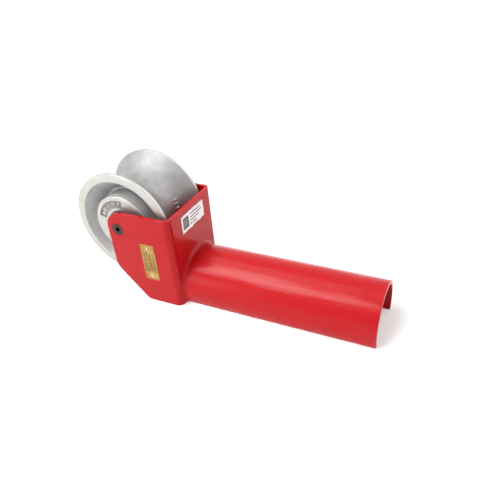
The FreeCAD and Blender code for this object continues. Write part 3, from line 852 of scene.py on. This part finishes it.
def printed_label():
    """A paper label with a plain print: a grey block, ruled lines and a row of grey boxes."""
    middle = (LABEL_LOW + LABEL_HIGH) / 2
    half_length = (LABEL_HIGH.y - LABEL_LOW.y) / 2
    half_height = (LABEL_HIGH.z - LABEL_LOW.z) / 2
    corner = 1.5 * MM
    half_straight = half_length - corner
    print_sunk = 0.08 * MM
    paper, grey, dark, pale = range(4)
    corner_steps = 4
    straight_steps = 60
    mesh = bmesh.new()
    turns = [math.pi / 2 * step / corner_steps for step in range(corner_steps + 1)]
    ends = [half_straight + corner * math.sin(turn) for turn in turns]
    straight = [half_straight * (2 * step / straight_steps - 1) for step in range(1, straight_steps)]
    columns = [-end for end in reversed(ends)] + straight + ends

    def reach(along):
        past = max(0, abs(along) - half_straight)
        high = half_height - corner + math.sqrt(max(0, corner ** 2 - past ** 2))
        return label_cut(along, 0) - high, high - label_cut(along, 9)

    def over_label(lift):
        return lambda along, across: Vector((
            label_face(middle.y + along, middle.z + across) + lift,
            middle.y + along, middle.z + across))

    thin_patch(
        mesh, columns, reach, over_label(0),
        lambda along, across: Vector((
            LABEL_LOW.x + FACE_TOLERANCE, middle.y + along, middle.z + across)),
        rows=24, finish=paper)

    def printed(left, right, low, high, finish, lift=0.05 * MM):
        """Adds a patch of ink, whose four sides are given in millimetres from the label's middle."""
        count = max(2, int(right - left))
        places = [(left + (right - left) * step / count) * MM for step in range(count + 1)]
        thin_patch(
            mesh, places, lambda along: (low * MM, high * MM),
            over_label(lift), over_label(-print_sunk), rows=10, finish=finish)

    printed(-27.5, -12, -9, 9, dark)
    printed(-26.5, -13, -8, 8, grey, 0.07 * MM)
    for low, right in ((3, -15.5), (0, -18), (-3, -15.5)):
        printed(-24, right, low, low + 1.1, pale, 0.1 * MM)
    for top, right in ((8.5, 22), (3.5, 25), (-1.5, 17)):
        printed(-7.5, right, top - 1.6, top, dark)
    for left in (-7.5, -1.5, 4.5):
        printed(left, left + 4, -9.5, -6.8, grey)
    new_piece(
        "printed_label", mesh, ["coated_paper", "grey_green_ink", "dark_ink", "pale_ink"],
        "frame", ["paper_label"])


# Finishes of the CAD nodes that show as they are

NODE_FINISHES = {
    "axle_shaft": "ground_steel",
    "bearing_spacer": "ground_steel",
    "side_spacer_near": "zinc_plate",
    "side_spacer_far": "zinc_plate",
    "circlips": "phosphated_steel",
}
for side in ("near", "far"):
    NODE_FINISHES["inner_race_" + side] = "bearing_steel"
    NODE_FINISHES["outer_race_" + side] = "bearing_steel"
    NODE_FINISHES["bearing_rollers_" + side] = "bearing_steel"
    NODE_FINISHES["roller_cage_" + side] = "cage_brass"
    NODE_FINISHES["dust_shield_" + side] = "shield_steel"


def finish_nodes():
    """Puts its finish on each node that no piece stands for."""
    for name, finish in NODE_FINISHES.items():
        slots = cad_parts[name].data.materials
        slots.clear()
        slots.append(FINISHES[finish])


# Stage: a white floor that keeps a soft shadow, a white surround and soft lamps

def seen_directly(tree):
    """1 for camera, glossy and transmission rays, so that metal and gloss show the background too."""
    path = add(tree, "ShaderNodeLightPath")
    seen = add(tree, "ShaderNodeMath", {
        0: path.outputs["Is Camera Ray"], 1: path.outputs["Is Glossy Ray"]}, operation="MAXIMUM")
    either = add(tree, "ShaderNodeMath", {
        0: seen.outputs[0], 1: path.outputs["Is Transmission Ray"]}, operation="MAXIMUM")
    return either.outputs[0]


def white_floor(half_size=6, glow=0.27, glow_rises_from=0.6, glow_full_at=2):
    """A floor that glows where it is seen directly, and more with distance, so it has no horizon."""
    mesh = bmesh.new()
    bmesh.ops.create_grid(mesh, x_segments=1, y_segments=1, size=half_size)
    data = bpy.data.meshes.new("floor")
    mesh.to_mesh(data)
    mesh.free()
    floor = bpy.data.objects.new("floor", data)
    floor.location.z = FLOOR
    bpy.context.scene.collection.objects.link(floor)

    tree, place = new_finish("studio_floor")
    paper = add(tree, "ShaderNodeBsdfDiffuse", {"Color": srgb("#F4F4F4")})
    distance = add(tree, "ShaderNodeVectorMath", {0: place}, operation="LENGTH")
    level = add(tree, "ShaderNodeMapRange", {
        "Value": distance.outputs["Value"], "From Min": glow_rises_from, "From Max": glow_full_at,
        "To Min": glow, "To Max": 1})
    light = add(tree, "ShaderNodeEmission", {"Color": (1, 1, 1, 1), "Strength": level.outputs[0]})
    both = add(tree, "ShaderNodeAddShader", {0: paper.outputs[0], 1: light.outputs[0]})
    mix = add(tree, "ShaderNodeMixShader", {
        0: seen_directly(tree), 1: paper.outputs[0], 2: both.outputs[0]})
    add(tree, "ShaderNodeOutputMaterial", {"Surface": mix.outputs[0]})
    data.materials.append(FINISHES["studio_floor"])


def white_surround(level=0.35):
    """A plain world that is white where it is seen directly, and lights the object less than that."""
    world = bpy.data.worlds.new("surround")
    bpy.context.scene.world = world
    world.use_nodes = True
    tree = world.node_tree
    tree.nodes.clear()
    strength = add(tree, "ShaderNodeMapRange", {
        "Value": seen_directly(tree), "To Min": level, "To Max": 1})
    background = add(tree, "ShaderNodeBackground", {
        "Color": (1, 1, 1, 1), "Strength": strength.outputs[0]})
    add(tree, "ShaderNodeOutputWorld", {"Surface": background.outputs[0]})


def soft_box(name, place, width, height, power):
    """A rectangular lamp turned to the middle of the object."""
    target = Vector((0.05, 0, 0.05))
    lamp = bpy.data.lights.new(name, "AREA")
    lamp.shape = "RECTANGLE"
    lamp.size = width
    lamp.size_y = height
    lamp.energy = power
    holder = bpy.data.objects.new(name, lamp)
    holder.location = place
    holder.rotation_euler = (target - Vector(place)).to_track_quat("-Z", "Y").to_euler()
    bpy.context.scene.collection.objects.link(holder)


def photo_camera():
    """The camera that was fitted to the photograph's edges, for a frame of 500 x 500 pixels."""
    picture = 500
    focal = 504.92
    centre = (254.96, 257.70)
    place = Vector((378.09, -548.68, 473.24)) * MM
    yaw, pitch, roll = (math.radians(angle) for angle in (26.88, -34.29, -4.27))
    ahead = Vector((-math.sin(yaw) * math.cos(pitch), math.cos(yaw) * math.cos(pitch), math.sin(pitch)))
    level = ahead.cross(Vector((0, 0, 1))).normalized()
    up = level.cross(ahead)
    right = level * math.cos(roll) + up * math.sin(roll)
    up = up * math.cos(roll) - level * math.sin(roll)
    data = bpy.data.cameras.new("photo_camera")
    data.sensor_width = 36
    data.lens = focal / picture * data.sensor_width
    data.shift_x = (picture / 2 - centre[0]) / picture
    data.shift_y = (centre[1] - picture / 2) / picture
    camera = bpy.data.objects.new("photo_camera", data)
    camera.matrix_world = Matrix.Translation(place) @ Matrix((right, up, -ahead)).transposed().to_4x4()
    bpy.context.scene.collection.objects.link(camera)
    bpy.context.scene.camera = camera


# The scene

photo_camera()
finish_nodes()
painted_yoke()
painted_spigot()
painted_weld()
cast_sheave()
panel_marks()
groove_marks()
axle_screws()
brass_nameplate()
domed_rivets()
printed_label()
white_floor()
white_surround()
soft_box("overhead_box", (-1.3, -1.5, 3.1), 2.1, 1.7, 103)
soft_box("top_box", (-1.1, 0.3, 3.2), 1.8, 1.8, 22)
soft_box("front_box", (-2.0, -2.4, 0.8), 2.0, 1.2, 18)
soft_box("back_box", (2.0, 1.9, 2.5), 4.0, 4.0, 60)
bpy.context.scene.view_settings.view_transform = "Standard"
